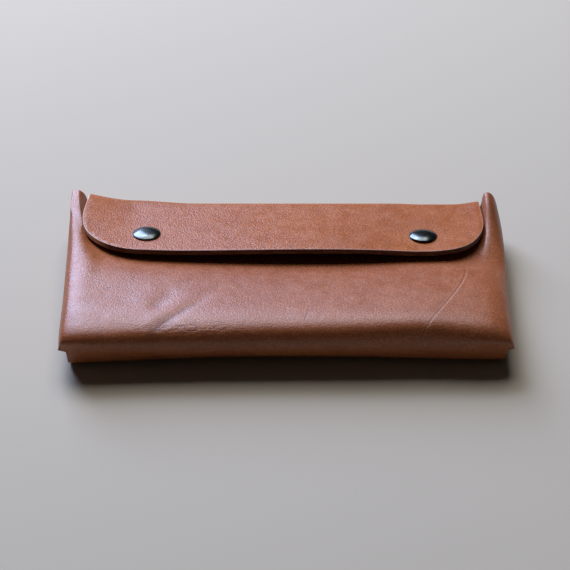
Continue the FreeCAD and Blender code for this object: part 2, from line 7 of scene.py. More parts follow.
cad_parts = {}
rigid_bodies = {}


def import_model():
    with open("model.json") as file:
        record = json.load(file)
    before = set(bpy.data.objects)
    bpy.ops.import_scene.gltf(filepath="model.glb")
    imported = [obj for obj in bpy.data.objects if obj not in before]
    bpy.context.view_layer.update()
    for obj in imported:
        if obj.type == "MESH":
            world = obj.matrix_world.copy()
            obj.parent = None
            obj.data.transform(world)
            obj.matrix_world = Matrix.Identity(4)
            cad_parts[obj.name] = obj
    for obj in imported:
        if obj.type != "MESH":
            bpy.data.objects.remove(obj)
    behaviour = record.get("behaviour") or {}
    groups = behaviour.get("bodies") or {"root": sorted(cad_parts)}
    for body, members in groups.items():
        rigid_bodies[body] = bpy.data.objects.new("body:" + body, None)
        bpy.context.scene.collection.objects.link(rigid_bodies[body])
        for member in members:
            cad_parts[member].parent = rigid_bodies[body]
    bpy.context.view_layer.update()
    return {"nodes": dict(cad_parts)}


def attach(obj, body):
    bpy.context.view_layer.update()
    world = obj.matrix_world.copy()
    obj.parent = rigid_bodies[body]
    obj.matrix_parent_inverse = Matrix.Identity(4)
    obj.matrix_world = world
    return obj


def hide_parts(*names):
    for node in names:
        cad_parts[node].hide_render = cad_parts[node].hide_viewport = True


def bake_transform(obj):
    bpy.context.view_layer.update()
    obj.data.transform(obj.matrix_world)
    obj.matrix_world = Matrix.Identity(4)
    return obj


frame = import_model()

# A folding leather pen case, lying on its back: +X to the right, +Y to the mouth, +Z up.
# Sizes are in millimetres, as on the part's own sheet, and MM turns them into metres.
MM = 0.001
LEATHER = 2.4
GUSSET_LEATHER = 1.4
EDGE_EASE = 0.45
FLAP_EASE = 0.8
# Places of a hide's materials among its slots
GRAIN, FLESH, CUT_EDGE, RIM = range(4)

# Box that the front panel is cut from, and the lines that divide it
BOX_HALF = 95.0
BOX_NEAR = -50.9
BOX_MOUTH = 44.6
BOX_TOP = 23.0
BOX_HEM = 10.0
WALL_LINE = 16.5
PANEL_LINES = (0.0, 15.0, 30.0, 45.0, 61.5, 72.0, 80.0)
SIDE_LINES = (86.0, 90.0, 93.0, BOX_HALF)

# Flap and its fold
FOLD_Y = 42.65
FOLD_RADIUS = 8.25
FLAP_TILT = 8.0
FLAP_LENGTH = 41.0
FLAP_HALF = 90.0
FLAP_CORNER = 25.0
SEAM_ANGLE = -5.0
SEAM_NEAR = 46.0
SEAM_HALF = 3.0

# Press studs
SNAP_X = 61.5
CAP_RADIUS = 6.25
CAP_INSET = 13.5
CAP_RIM = 0.5
CAP_HEIGHT = 1.8


# Working in Blender

def mm(x, y, z):
    """A point given in millimetres."""
    return Vector((x, y, z)) * MM


def name_piece(name, size=(1, 1, 1)):
    """Name the new primitive, stretch it to its size and put its place into its mesh."""
    piece = bpy.context.active_object
    piece.name = name
    piece.data.name = name
    piece.scale = size
    bpy.ops.object.transform_apply(location=True, rotation=True, scale=True)
    return piece


def deselect():
    """Leave nothing selected, so that an operator acts on the new piece alone."""
    bpy.ops.object.select_all(action="DESELECT")


def hold(piece):
    """Make a piece the only one selected."""
    deselect()
    piece.select_set(True)
    bpy.context.view_layer.objects.active = piece


def open_mesh(kind):
    """Go into edit mode with nothing selected, to pick verts, edges or faces."""
    bpy.ops.object.mode_set(mode="EDIT")
    bpy.ops.mesh.select_mode(type=kind)
    bpy.ops.mesh.select_all(action="DESELECT")


def close_mesh():
    """Leave edit mode."""
    bpy.ops.object.mode_set(mode="OBJECT")


def pick(piece, kind, test):
    """In edit mode, select what passes a test on its corners' places, in millimetres."""
    bpy.ops.mesh.select_mode(type=kind)
    bpy.ops.mesh.select_all(action="DESELECT")
    mesh = bmesh.from_edit_mesh(piece.data)
    if kind == "VERT":
        for vert in mesh.verts:
            vert.select = test(vert.co / MM)
    else:
        for item in (mesh.edges if kind == "EDGE" else mesh.faces):
            item.select = all(test(vert.co / MM) for vert in item.verts)
    mesh.select_flush_mode()
    bmesh.update_edit_mesh(piece.data)


def cut(point, normal):
    """Cut the whole open mesh along a plane."""
    bpy.ops.mesh.select_all(action="SELECT")
    bpy.ops.mesh.bisect(plane_co=point, plane_no=normal)


def cut_columns(step, count):
    """Cut the open mesh at steps across it: in the middle, and so many times on each side."""
    for index in range(-count, count + 1):
        cut(mm(index * step, 0, 0), (1, 0, 0))


def cut_rows(near, step, count):
    """Cut the open mesh so many times at steps from its near edge."""
    for index in range(1, count + 1):
        cut(mm(0, near + index * step, 0), (0, 1, 0))


def extrude(x, y, z):
    """Extrude the selected edges by a step in millimetres."""
    bpy.ops.mesh.extrude_edges_move(TRANSFORM_OT_translate={"value": mm(x, y, z)})


def shape(piece, place):
    """Move every vertex of a piece to place(its present place), in millimetres."""
    for vert in piece.data.vertices:
        vert.co = Vector(place(vert.co / MM)) * MM


def apply_modifier(piece, kind, **settings):
    """Add a modifier with these settings and apply it."""
    hold(piece)
    modifier = piece.modifiers.new(kind.lower(), kind)
    for name, value in settings.items():
        setattr(modifier, name, value)
    bpy.ops.object.modifier_apply(modifier=modifier.name)


def smooth_out(piece, levels):
    """Round the cage into a smooth skin."""
    apply_modifier(piece, "SUBSURF", levels=levels, render_levels=levels,
                   boundary_smooth="PRESERVE_CORNERS")


def even_normals(piece):
    """Point all faces of a piece to one side."""
    hold(piece)
    open_mesh("FACE")
    bpy.ops.mesh.select_all(action="SELECT")
    bpy.ops.mesh.normals_make_consistent(inside=False)
    close_mesh()


def face_out(piece, is_out):
    """Point all faces to the grain side: is_out tells whether a face's middle and normal do."""
    even_normals(piece)
    votes = sum(1 if is_out(face.center / MM, face.normal) else -1 for face in piece.data.polygons)
    if votes < 0:
        open_mesh("FACE")
        bpy.ops.mesh.select_all(action="SELECT")
        bpy.ops.mesh.flip_normals()
        close_mesh()


def thicken(piece, thickness, keeps_seam=None, easing=EDGE_EASE):
    """Give a grain skin its flesh side and its cut edge, with the edge's corners eased."""
    apply_modifier(piece, "SOLIDIFY", thickness=thickness * MM, offset=-1.0, use_even_offset=True,
                   thickness_clamp=0.0, material_offset=FLESH, material_offset_rim=CUT_EDGE)
    open_mesh("EDGE")
    mesh = bmesh.from_edit_mesh(piece.data)
    for edge in mesh.edges:
        kinds = {face.material_index for face in edge.link_faces}
        seam = keeps_seam and all(keeps_seam(vert.co / MM) for vert in edge.verts)
        edge.select = CUT_EDGE in kinds and len(kinds) == 2 and not seam
    mesh.select_flush_mode()
    bmesh.update_edit_mesh(piece.data)
    bpy.ops.mesh.bevel(offset=easing * MM, segments=3, affect="EDGES", clamp_overlap=True,
                       material=CUT_EDGE)
    close_mesh()


def finish_smooth(piece, angle=40):
    """Shade a piece smooth, with its real edges kept."""
    hold(piece)
    bpy.ops.object.shade_smooth_by_angle(angle=math.radians(angle))


def ease(value, low, high):
    """0 below low, 1 above high, and a smooth rise between them."""
    share = min(max((value - low) / (high - low), 0.0), 1.0)
    return share * share * (3 - 2 * share)


# Materials

def new_material(name):
    """A material with its shader, ready for nodes."""
    material = bpy.data.materials.new(name)
    material.use_nodes = True
    return material, material.node_tree, material.node_tree.nodes["Principled BSDF"]


def add_node(tree, kind, links=(), **settings):
    """Add a node. links gives its inputs: a socket to join, or a plain value."""
    node = tree.nodes.new(kind)
    for name, value in settings.items():
        setattr(node, name, value)
    for key, value in dict(links).items():
        if isinstance(value, bpy.types.NodeSocket):
            tree.links.new(value, node.inputs[key])
        else:
            node.inputs[key].default_value = value
    return node


def object_place(tree):
    """The place on the piece, in metres."""
    return add_node(tree, "ShaderNodeTexCoord").outputs["Object"]


def noise(tree, place, scale, detail=2.0, roughness=0.5):
    """Soft clouds of 0 to 1."""
    return add_node(tree, "ShaderNodeTexNoise", {
        "Vector": place, "Scale": scale, "Detail": detail, "Roughness": roughness}).outputs["Fac"]


def cells(tree, place, scale):
    """Scattered round cells: 0 in the middle of each."""
    return add_node(tree, "ShaderNodeTexVoronoi", {"Vector": place, "Scale": scale}).outputs["Distance"]


def stretch(tree, value, low, high, to_low=0.0, to_high=1.0):
    """Map low..high to to_low..to_high, clamped."""
    return add_node(tree, "ShaderNodeMapRange", {
        "Value": value, "From Min": low, "From Max": high,
        "To Min": to_low, "To Max": to_high}).outputs["Result"]


def reckon(tree, operation, first, second=0.5, third=0.5):
    """One step of arithmetic."""
    node = add_node(tree, "ShaderNodeMath", {0: first, 1: second, 2: third}, operation=operation)
    return node.outputs[0]


def mix_colour(tree, share, first, second):
    """Mix two colours: the first at a share of 0, the second at 1. The numbers are the node's sockets."""
    node = add_node(tree, "ShaderNodeMix", data_type="RGBA")
    for key, value in ((0, share), (6, first), (7, second)):
        if isinstance(value, bpy.types.NodeSocket):
            tree.links.new(value, node.inputs[key])
        else:
            node.inputs[key].default_value = value
    return node.outputs[2]


def bump(tree, height, distance, strength, below=None):
    """Raise the skin by a height, on top of the bumps below it."""
    links = {"Height": height, "Distance": distance, "Strength": strength}
    if below:
        links["Normal"] = below
    return add_node(tree, "ShaderNodeBump", links).outputs["Normal"]


def colour(red, green, blue):
    """A colour that covers fully."""
    return (red, green, blue, 1.0)


def multiply(tree, first, second):
    """One value times another."""
    return reckon(tree, "MULTIPLY", first, second)


def band(tree, value, middle, half):
    """1 at the middle of a band, falling to 0 at its half width."""
    return stretch(tree, reckon(tree, "ABSOLUTE", reckon(tree, "SUBTRACT", value, middle)), half, 0.0)


# Shares of a mark's length: where it has come to its full strength, and where it begins to end
MARK_RISE = 0.7
MARK_FALL = 0.85


def straight_mark(tree, place, start, end, half, strength):
    """A straight mark between two places in plan, fading slowly at its start and fast at its end."""
    run = Vector(end) - Vector(start)
    turned = add_node(tree, "ShaderNodeMapping", {
        "Vector": place, "Location": mm(start[0], start[1], 0),
        "Rotation": (0.0, 0.0, math.atan2(run.y, run.x))}, vector_type="TEXTURE").outputs["Vector"]
    parts = add_node(tree, "ShaderNodeSeparateXYZ", {"Vector": turned})
    length = run.length * MM
    ends = multiply(tree, stretch(tree, parts.outputs["X"], 0.0, MARK_RISE * length, 0.0, strength),
                    stretch(tree, parts.outputs["X"], length, MARK_FALL * length))
    return multiply(tree, band(tree, parts.outputs["Y"], 0.0, half * MM), ends)


# The long scratch. A place's run along it, in centimetres, adds shares of its y and z, in metres, to a start
RUN_OF_Y = 100.0
RUN_OF_Z = 80.0
RUN_START = 1.24
# Where it ends along its run, and where it is full
FAR_FADE = (2.4, 1.4)
NEAR_FADE = (-2.9, -1.6)
# Its x in millimetres along its run, as the terms of a curve from the highest power down
SCRATCH_CURVE = (-0.228, -0.363, 5.858, 70.97)
# Places beside that curve and half widths, in millimetres, of its two lips and the groove between them
FIRST_LIP = (0.0, 0.42)
SECOND_LIP = (-1.75, 0.38)
SCRATCH_GROOVE = (-0.9, 0.8)
SECOND_LIP_SHARE = 0.4


def long_scratch(tree, place):
    """The long curved scratch at the right: two light lips with a shallow groove between them."""
    parts = add_node(tree, "ShaderNodeSeparateXYZ", {"Vector": place})
    down = reckon(tree, "MULTIPLY_ADD", parts.outputs["Y"], RUN_OF_Y,
                  reckon(tree, "MULTIPLY_ADD", parts.outputs["Z"], RUN_OF_Z, RUN_START))
    curve = reckon(tree, "MULTIPLY_ADD", down, SCRATCH_CURVE[0], SCRATCH_CURVE[1])
    for term in SCRATCH_CURVE[2:]:
        curve = reckon(tree, "MULTIPLY_ADD", curve, down, term)
    across = reckon(tree, "MULTIPLY_ADD", parts.outputs["X"], 1 / MM, multiply(tree, curve, -1.0))
    ends = multiply(tree, stretch(tree, down, *FAR_FADE), stretch(tree, down, *NEAR_FADE))
    first_lip = multiply(tree, band(tree, across, *FIRST_LIP), ends)
    second_lip = multiply(tree, multiply(tree, band(tree, across, *SECOND_LIP), ends), SECOND_LIP_SHARE)
    groove = multiply(tree, band(tree, across, *SCRATCH_GROOVE), ends)
    return reckon(tree, "MAXIMUM", first_lip, second_lip), groove


# Scratches and painted crease shade of the front: two places in plan, half width and strength of each mark
FINE_SCRATCH = ((-9.0, -33.0), (7.0, -39.4), 0.30, 0.9)
# The creases are pressed in as bumps and darkened as painted shade
CREASE_MARKS_AND_SHADE = (
    ((-30.0, -26.0), (-57.5, -53.0), 2.0, 1.0),
    ((-36.0, -33.0), (-59.0, -53.5), 4.0, 0.60),
    ((-46.5, -21.5), (-56.5, -39.0), 3.5, 0.45),
    ((10.8, -36.0), (8.4, -45.5), 0.7, 0.55),
)
# Crumples along the near roll, pressed in as bumps and darkened as painted shade: their middle and how far
# they reach
CRUMPLE_X = -38.0
CRUMPLE_Y = -49.5
CRUMPLE_HALF_WIDTH = 34.0
CRUMPLE_HALF_DEPTH = 6.0
# Their slant, and their cells to the metre along and across the roll
CRUMPLE_SLANT = 0.2
CRUMPLE_CELLS = (260.0, 800.0, 800.0)
# Share of the long scratch's groove that is darkened as painted shade
GROOVE_SHADE = 0.35
# Patterns of the leather, in cells to the metre, and how much its gloss varies
CLOUDS = 32.0
PATCHES = 160.0
BREAKS = 420.0
MOTTLES = 480.0
PEBBLES = 1250.0
PORES = 1500.0
GLOSS_SPREAD = 0.06
# Depths of the leather's bumps, in millimetres
PEBBLE_DEPTH = 0.10
PORE_DEPTH = 0.06
PATCH_DEPTH = 0.5
SCRATCH_DEPTH = 0.08
CREASE_DEPTH = 0.18


def scratches_and_shade_of_front(tree, place):
    """Light scratches, and creases and crumples darkened as painted shade, of the front panel, as shares of 0
    to 1.
    """
    light, groove = long_scratch(tree, place)
    light = reckon(tree, "MAXIMUM", light, straight_mark(tree, place, *FINE_SCRATCH))
    # Painted shade in the long scratch's groove and in the creases
    dark = multiply(tree, groove, GROOVE_SHADE)
    for crease in CREASE_MARKS_AND_SHADE:
        dark = reckon(tree, "MAXIMUM", dark, straight_mark(tree, place, *crease))
    parts = add_node(tree, "ShaderNodeSeparateXYZ", {"Vector": place})
    drawn = add_node(tree, "ShaderNodeMapping", {
        "Vector": place, "Rotation": (0.0, 0.0, CRUMPLE_SLANT), "Scale": CRUMPLE_CELLS}).outputs["Vector"]
    where = multiply(tree, band(tree, parts.outputs["X"], CRUMPLE_X * MM, CRUMPLE_HALF_WIDTH * MM),
                     band(tree, parts.outputs["Y"], CRUMPLE_Y * MM, CRUMPLE_HALF_DEPTH * MM))
    # Crumples: a mask for bumps and for painted shade
    crumple_and_shade = multiply(tree, stretch(tree, noise(tree, drawn, 1.0, 3.0, 0.6), 0.42, 0.62), where)
    return light, dark, crumple_and_shade


def grain_leather(name, light, dark, roughness, pebble, pore, marks_and_shade=None):
    """The smooth dyed side of the hide: cloudy dye, fine pebbled grain, pores, and maybe scratches, with
    painted shade in creases and crumples.
    """
    material, tree, shader = new_material(name)
    place = object_place(tree)
    cloud = noise(tree, place, CLOUDS, 4.0, 0.55)
    patch = noise(tree, place, PATCHES, 3.0, 0.6)
    fine = noise(tree, place, PORES, 3.0, 0.6)
    grain = cells(tree, place, PEBBLES)
    dye = reckon(tree, "MULTIPLY_ADD", cloud, 0.6, multiply(tree, patch, 0.4))
    tone = mix_colour(tree, stretch(tree, dye, 0.36, 0.64), dark, light)
    darker = colour(dark[0] * 0.5, dark[1] * 0.42, dark[2] * 0.5)
    mottle = stretch(tree, noise(tree, place, MOTTLES, 4.0, 0.65), 0.46, 0.66, 0.0, 0.4 * pore)
    tone = mix_colour(tree, mottle, tone, darker)
    tone = mix_colour(tree, stretch(tree, fine, 0.62, 0.40, 0.0, pore), tone, darker)
    skin = bump(tree, grain, PEBBLE_DEPTH * MM, pebble)
    skin = bump(tree, fine, PORE_DEPTH * MM, pebble * 0.8, skin)
    skin = bump(tree, patch, PATCH_DEPTH * MM, 0.25, skin)
    if marks_and_shade:
        scratched, creases_and_shade, crumples_and_shade = marks_and_shade(tree, place)
        broken = stretch(tree, noise(tree, place, BREAKS, 3.0, 0.6), 0.35, 0.6, 0.45, 1.0)
        # Painted shade: the creases, the scratch's groove and the crumples are darkened
        tone = mix_colour(tree, multiply(tree, multiply(tree, creases_and_shade, broken), 0.95), tone, CREASE_SHADE)
        tone = mix_colour(tree, multiply(tree, crumples_and_shade, 0.8), tone, darker)
        tone = mix_colour(tree, multiply(tree, multiply(tree, scratched, broken), 0.7), tone, SCUFF)
        skin = bump(tree, scratched, SCRATCH_DEPTH * MM, 0.5, skin)
        hollow = multiply(tree, reckon(tree, "ADD", creases_and_shade, crumples_and_shade), -1.0)
        skin = bump(tree, hollow, CREASE_DEPTH * MM, 0.6, skin)
    tree.links.new(tone, shader.inputs["Base Color"])
    gloss = stretch(tree, patch, 0.3, 0.7, roughness - GLOSS_SPREAD, roughness + GLOSS_SPREAD)
    tree.links.new(gloss, shader.inputs["Roughness"])
    tree.links.new(skin, shader.inputs["Normal"])
    return material


def flesh_leather(name, light, dark):
    """The rough inner side of the hide, with short fibres."""
    material, tree, shader = new_material(name)
    place = object_place(tree)
    nap = noise(tree, place, 900.0, 5.0, 0.7)
    cloud = noise(tree, place, 60.0, 3.0, 0.5)
    tone = mix_colour(tree, stretch(tree, cloud, 0.3, 0.7), dark, light)
    shade = colour(dark[0] * 0.6, dark[1] * 0.6, dark[2] * 0.6)
    tone = mix_colour(tree, stretch(tree, nap, 0.6, 0.3, 0.0, 0.6), tone, shade)
    tree.links.new(tone, shader.inputs["Base Color"])
    shader.inputs["Roughness"].default_value = 0.92
    shader.inputs["Specular IOR Level"].default_value = 0.2
    tree.links.new(bump(tree, nap, 0.25 * MM, 0.6), shader.inputs["Normal"])
    return material


def cut_edge(name, raw, edge_dark_tone, lit_end=None):
    """The cut edge of the hide: dark layers of fibre, pale raw flecks, and maybe one end painted pale as
    painted light.
    """
    material, tree, shader = new_material(name)
    place = object_place(tree)
    drawn = add_node(tree, "ShaderNodeMapping", {
        "Vector": place, "Scale": (200.0, 200.0, 2400.0)}).outputs["Vector"]
    layers = noise(tree, drawn, 1.0, 4.0, 0.65)
    flecks = noise(tree, place, 2600.0, 3.0, 0.6)
    share = reckon(tree, "MULTIPLY_ADD", stretch(tree, flecks, 0.62, 0.74), 0.55,
                   multiply(tree, stretch(tree, layers, 0.45, 0.75), 0.25))
    # Painted light: one end of the edge is painted pale, as if lit
    if lit_end:
        across = add_node(tree, "ShaderNodeSeparateXYZ", {"Vector": place}).outputs["X"]
        pale = stretch(tree, across, lit_end[0] * MM, lit_end[1] * MM, 0.0, 0.9)
        painted_lit_end = multiply(tree, pale, stretch(tree, layers, 0.25, 0.55, 0.7, 1.0))
        share = reckon(tree, "MAXIMUM", share, painted_lit_end)
    tree.links.new(mix_colour(tree, share, edge_dark_tone, raw), shader.inputs["Base Color"])
    shader.inputs["Roughness"].default_value = 0.7
    tree.links.new(bump(tree, layers, 0.15 * MM, 0.5), shader.inputs["Normal"])
    return material


def worn_metal(name, bright, dull, roughness):
    """Plated metal with a darker patina in soft clouds."""
    material, tree, shader = new_material(name)
    patina = noise(tree, object_place(tree), 260.0, 2.0, 0.5)
    tone = mix_colour(tree, stretch(tree, patina, 0.35, 0.65), bright, dull)
    tree.links.new(tone, shader.inputs["Base Color"])
    shader.inputs["Metallic"].default_value = 1.0
    gloss = stretch(tree, patina, 0.3, 0.7, roughness - 0.03, roughness + 0.04)
    tree.links.new(gloss, shader.inputs["Roughness"])
    return material


# Dyes and metals
TAN_LIGHT = colour(0.485, 0.160, 0.054)
TAN_DARK = colour(0.386, 0.116, 0.036)
FLAP_LIGHT = colour(0.545, 0.165, 0.034)
FLAP_DARK = colour(0.432, 0.118, 0.022)
SCUFF = colour(0.70, 0.40, 0.25)
# Dark colour of the painted shade in the creases
CREASE_SHADE = colour(0.11, 0.026, 0.016)
# Colours of the flap's edge: the raw pale tone is also painted on its left end as painted light, and the dark
# tone is burnished and painted shade
RAW_AND_LIT_EDGE = colour(0.84, 0.60, 0.44)
FLAP_BURNISHED_AND_SHADE = colour(0.085, 0.033, 0.019)
# Painted highlight along the rim of the flap's edge
FLAP_RIM_HIGHLIGHT = colour(0.56, 0.27, 0.18)
GUSSET_LIGHT = colour(0.30, 0.115, 0.05)
GUSSET_DARK = colour(0.21, 0.07, 0.03)
NICKEL = colour(0.096, 0.112, 0.108)
NICKEL_DULL = colour(0.068, 0.080, 0.077)
RIVET_BRIGHT = colour(0.40, 0.39, 0.37)
RIVET_DULL = colour(0.24, 0.235, 0.23)
# The left end of the flap's edge and rim, painted pale as painted light: x where it begins and where it is
# full
LIT_EDGE_END = (-77.0, -84.0)
LIT_RIM_END = (-72.0, -85.0)
front_grain = grain_leather("tan leather, front", TAN_LIGHT, TAN_DARK, 0.40, 0.6, 0.6, scratches_and_shade_of_front)
back_grain = grain_leather("tan leather, back", TAN_LIGHT, TAN_DARK, 0.40, 0.30, 0.5)
flap_grain = grain_leather("tan leather, flap", FLAP_LIGHT, FLAP_DARK, 0.37, 1.0, 0.7)
hide_flesh = flesh_leather("tan leather, flesh side", colour(0.40, 0.22, 0.12), colour(0.30, 0.15, 0.08))
hide_edge = cut_edge("cut edge of the hide", colour(0.46, 0.29, 0.19), colour(0.16, 0.062, 0.030))
flap_edge = cut_edge("cut edge of the flap, with painted shade and painted light", RAW_AND_LIT_EDGE, FLAP_BURNISHED_AND_SHADE, LIT_EDGE_END)
flap_rim_highlight = cut_edge("painted highlight on the flap's rim", RAW_AND_LIT_EDGE, FLAP_RIM_HIGHLIGHT, LIT_RIM_END)
gusset_grain = grain_leather("gusset leather", GUSSET_LIGHT, GUSSET_DARK, 0.6, 0.35, 0.5)
gusset_flesh = flesh_leather("gusset leather, flesh side", colour(0.34, 0.19, 0.11), colour(0.25, 0.13, 0.07))
gusset_edge = cut_edge("cut edge of the gusset", colour(0.34, 0.2, 0.12), colour(0.10, 0.05, 0.03))
snap_metal = worn_metal("antique nickel of the press studs", NICKEL, NICKEL_DULL, 0.24)
spring_metal = worn_metal("bright spring wire", colour(0.62, 0.62, 0.6), colour(0.45, 0.45, 0.44), 0.25)
rivet_metal = worn_metal("antique nickel of the rivets", RIVET_BRIGHT, RIVET_DULL, 0.3)


def dress(piece, *materials):
    """Give a piece its materials, in the order of its slots."""
    piece.data.materials.clear()
    for material in materials:
        piece.data.materials.append(material)


# Front panel, its rolled sides and the base strip
# Heights of the panel: y of a row, then z at each of the stations across it
PANEL_STATIONS = (-80.0, -61.5, -30.0, 0.0, 30.0, 61.5, 80.0)
PANEL_ROWS = (
    (44.6, (10.6, 10.2, 9.9, 9.8, 9.9, 10.2, 10.6)),
    (38.0, (11.7, 11.1, 10.6, 10.4, 10.6, 11.1, 11.7)),
    (28.0, (13.3, 12.6, 12.0, 11.6, 12.0, 12.6, 13.2)),
    (16.0, (15.7, 14.2, 13.6, 13.3, 13.6, 14.0, 14.2)),
    (3.0, (19.4, 16.3, 15.5, 15.0, 15.2, 16.6, 16.4)),
    (-10.0, (22.2, 21.3, 19.8, 19.1, 19.3, 19.9, 20.0)),
    (-24.0, (22.4, 21.7, 21.4, 21.3, 21.8, 22.4, 22.2)),
    (-36.0, (22.7, 22.3, 22.6, 22.7, 23.0, 23.5, 22.9)),
    (-43.0, (22.5, 22.4, 22.7, 22.9, 23.4, 23.9, 22.9)),
    (-47.0, (21.3, 21.5, 21.7, 21.8, 22.2, 22.7, 21.8)),
    (-49.3, (19.6, 19.5, 19.4, 19.4, 19.6, 19.7, 19.4)),
    (-50.9, (17.0, 16.4, 16.0, 15.8, 15.8, 15.6, 16.2)),
)
# The last three rows roll over the near end by different amounts along it: y at each station
ROLL_ROWS = (
    (-50.9, -49.9, -49.2, -48.9, -48.6, -48.0, -48.5),
    (-53.9, -52.9, -52.0, -51.6, -51.3, -50.4, -51.4),
    (-55.1, -54.2, -53.3, -52.9, -52.5, -51.8, -52.6),
)
ROLL_ENDS = (0.0, 0.1, 0.5, 1.4)
# The sides' lines at each row: shelf x and z, foot x and z, ridge x and z, shoulder x and z, wall x
LEFT_SIDE = (
    (89.2, 13.2, 90.0, 22.4, 93.2, 24.7, 96.6, 24.4, 97.3),
    (89.0, 13.5, 90.5, 21.0, 92.9, 24.5, 96.5, 24.2, 97.2),
    (88.0, 14.6, 90.8, 18.8, 91.4, 24.0, 96.4, 23.9, 97.1),
    (86.7, 17.2, 87.9, 19.8, 88.8, 23.2, 96.1, 23.2, 96.9),
    (83.2, 22.0, 85.8, 22.6, 89.0, 22.8, 95.7, 22.2, 96.6),
    (84.2, 22.5, 87.2, 22.5, 90.2, 22.4, 95.3, 21.6, 96.3),
    (86.0, 22.7, 88.4, 22.7, 90.8, 22.4, 94.7, 21.0, 96.0),
    (86.0, 22.9, 88.4, 22.7, 90.9, 22.2, 94.6, 20.7, 96.0),
    (86.0, 22.2, 88.3, 22.0, 91.0, 21.5, 94.6, 20.1, 95.9),
    (86.0, 21.2, 88.2, 21.0, 91.0, 20.6, 94.6, 19.5, 95.7),
    (86.0, 19.5, 88.3, 19.4, 91.0, 19.1, 94.5, 18.3, 95.5),
    (86.0, 17.2, 88.5, 17.1, 91.2, 16.9, 94.6, 16.4, 95.4),
)
RIGHT_SIDE = (
    (89.3, 13.5, 89.8, 19.4, 90.3, 24.2, 95.2, 23.0, 97.7),
    (89.3, 13.7, 89.8, 18.8, 90.3, 23.6, 95.4, 22.2, 98.3),
    (89.0, 14.0, 89.7, 17.2, 90.8, 19.2, 95.8, 17.8, 98.6),
    (87.2, 14.8, 88.9, 16.2, 91.4, 15.9, 95.8, 14.6, 98.4),
    (86.2, 16.2, 88.6, 16.0, 91.8, 15.3, 95.6, 14.0, 98.1),
    (86.0, 19.6, 88.6, 19.1, 91.8, 18.1, 95.5, 16.0, 97.5),
    (86.0, 21.8, 88.6, 21.2, 91.7, 20.0, 95.5, 17.6, 97.4),
    (86.0, 22.3, 88.4, 21.7, 91.5, 20.6, 95.3, 18.2, 97.3),
    (86.0, 22.3, 88.3, 21.7, 91.3, 20.7, 95.1, 18.6, 97.1),
    (86.0, 21.2, 88.2, 20.7, 91.3, 19.8, 95.2, 18.0, 97.0),
    (86.0, 18.7, 88.3, 18.4, 91.5, 17.8, 95.5, 16.7, 97.0),
    (86.0, 15.7, 88.6, 15.6, 92.0, 15.3, 95.9, 14.9, 97.0),
)
# The near wall's last columns: x and y at the shelf, foot, ridge and corner, and the tip below the corner
LEFT_ENDS = ((86.0, -54.3), (89.2, -54.2), (91.9, -53.9), (95.0, -53.0))
RIGHT_ENDS = ((86.0, -51.7), (89.9, -51.6), (93.5, -51.3), (96.4, -50.6))
LEFT_TIP = (95.3, -53.1, 12.6)
RIGHT_TIP = (96.6, -51.0, 11.8)
# How far the mouth's edge is scooped out, and where the scoop ends at the sides
MOUTH_SCOOP = 3.0
SCOOP_ENDS = (70.0, 92.0)
WALL_ABOVE_HEM = 2.4
STRIP_HALF = 93.5
# Steps of the base strip under the near wall: y and z in the middle, and at the left and right ends
STRIP_STEPS = (
    ((-48.6, 5.3), (-50.7, 4.8), (-49.8, 5.0)),
    ((-44.6, 1.8), (-48.9, 1.2), (-46.6, 1.5)),
    ((-40.2, 0.1), (-43.5, -0.1), (-41.5, 0.0)),
    ((-36.5, 0.0), (-36.5, 0.0), (-36.5, 0.0)),
)
# Creases pressed into the panel: two ends in plan, half width and depth of each
CREASES = (
    ((-32.0, -27.0), (-55.5, -51.5), 2.2, 0.34),
    ((-47.5, -22.5), (-56.5, -38.0), 3.4, 0.30),
    ((10.4, -37.0), (8.8, -44.0), 1.6, 0.05),
)
# The swelling beside a crease: its share of the depth, and its place and width in half widths
SWELLING_SHARE = 0.6
SWELLING_PLACE = 2.4
SWELLING_WIDTH = 1.7
# Crisp edges of the left ridge and of its shoulder: outer and inner x, and z and y above which each lies,
# and how crisp it is
LEFT_CRISP = (
    (-94.0, -88.5, 23.0, 25.0, 0.2),
    (-94.0, -88.5, 23.0, 15.0, 0.55),
    (-97.0, -94.2, 21.7, 25.0, 0.3),
    (-97.0, -94.2, 21.7, 12.0, 0.14),
    (-97.0, -94.2, 21.7, 0.0, 0.14),
)
WING_CRISP = 0.6
STRIP_END_CRISP = 0.9
# How far the near wall's lower edge rises to its left and right wing, and from where to where it does
LEFT_WING_RISE = 2.3
LEFT_WING = (30.0, 88.0)
RIGHT_WING_RISE = 1.2
RIGHT_WING = (60.0, 92.0)
# How far the near wall's lower edge is drawn in, in the middle, and where that ends at the sides
HEM_TUCK = 0.7
TUCK_ENDS = (20.0, 85.0)


def between(value, stations, sizes):
    """Read a size off a table, between its stations."""
    for low, high, first, last in zip(stations, stations[1:], sizes, sizes[1:]):
        if value <= high:
            return first + (last - first) * max((value - low) / (high - low), 0.0)
    return sizes[-1]


def nearest(value, lines):
    """Number of the line that is nearest to a value."""
    return min(range(len(lines)), key=lambda index: abs(lines[index] - value))


def hem_height(x):
    """Height of the near wall's lower edge, which rises to its two wing tips."""
    return BOX_HEM + LEFT_WING_RISE * ease(-x, *LEFT_WING) + RIGHT_WING_RISE * ease(x, *RIGHT_WING)


def at_wing(point):
    """Whether a point lies on the lower corners of the near wall's wings."""
    return (abs(point.x) > 94 and point.y < -50
            and point.z < hem_height(point.x) + WALL_ABOVE_HEM + 0.3)


def at_strip_end(point):
    """Whether a point lies where an end of the base strip leaves the near wall."""
    return 91 < abs(point.x) < STRIP_HALF and point.y < -49 and abs(point.z - hem_height(point.x)) < 0.5


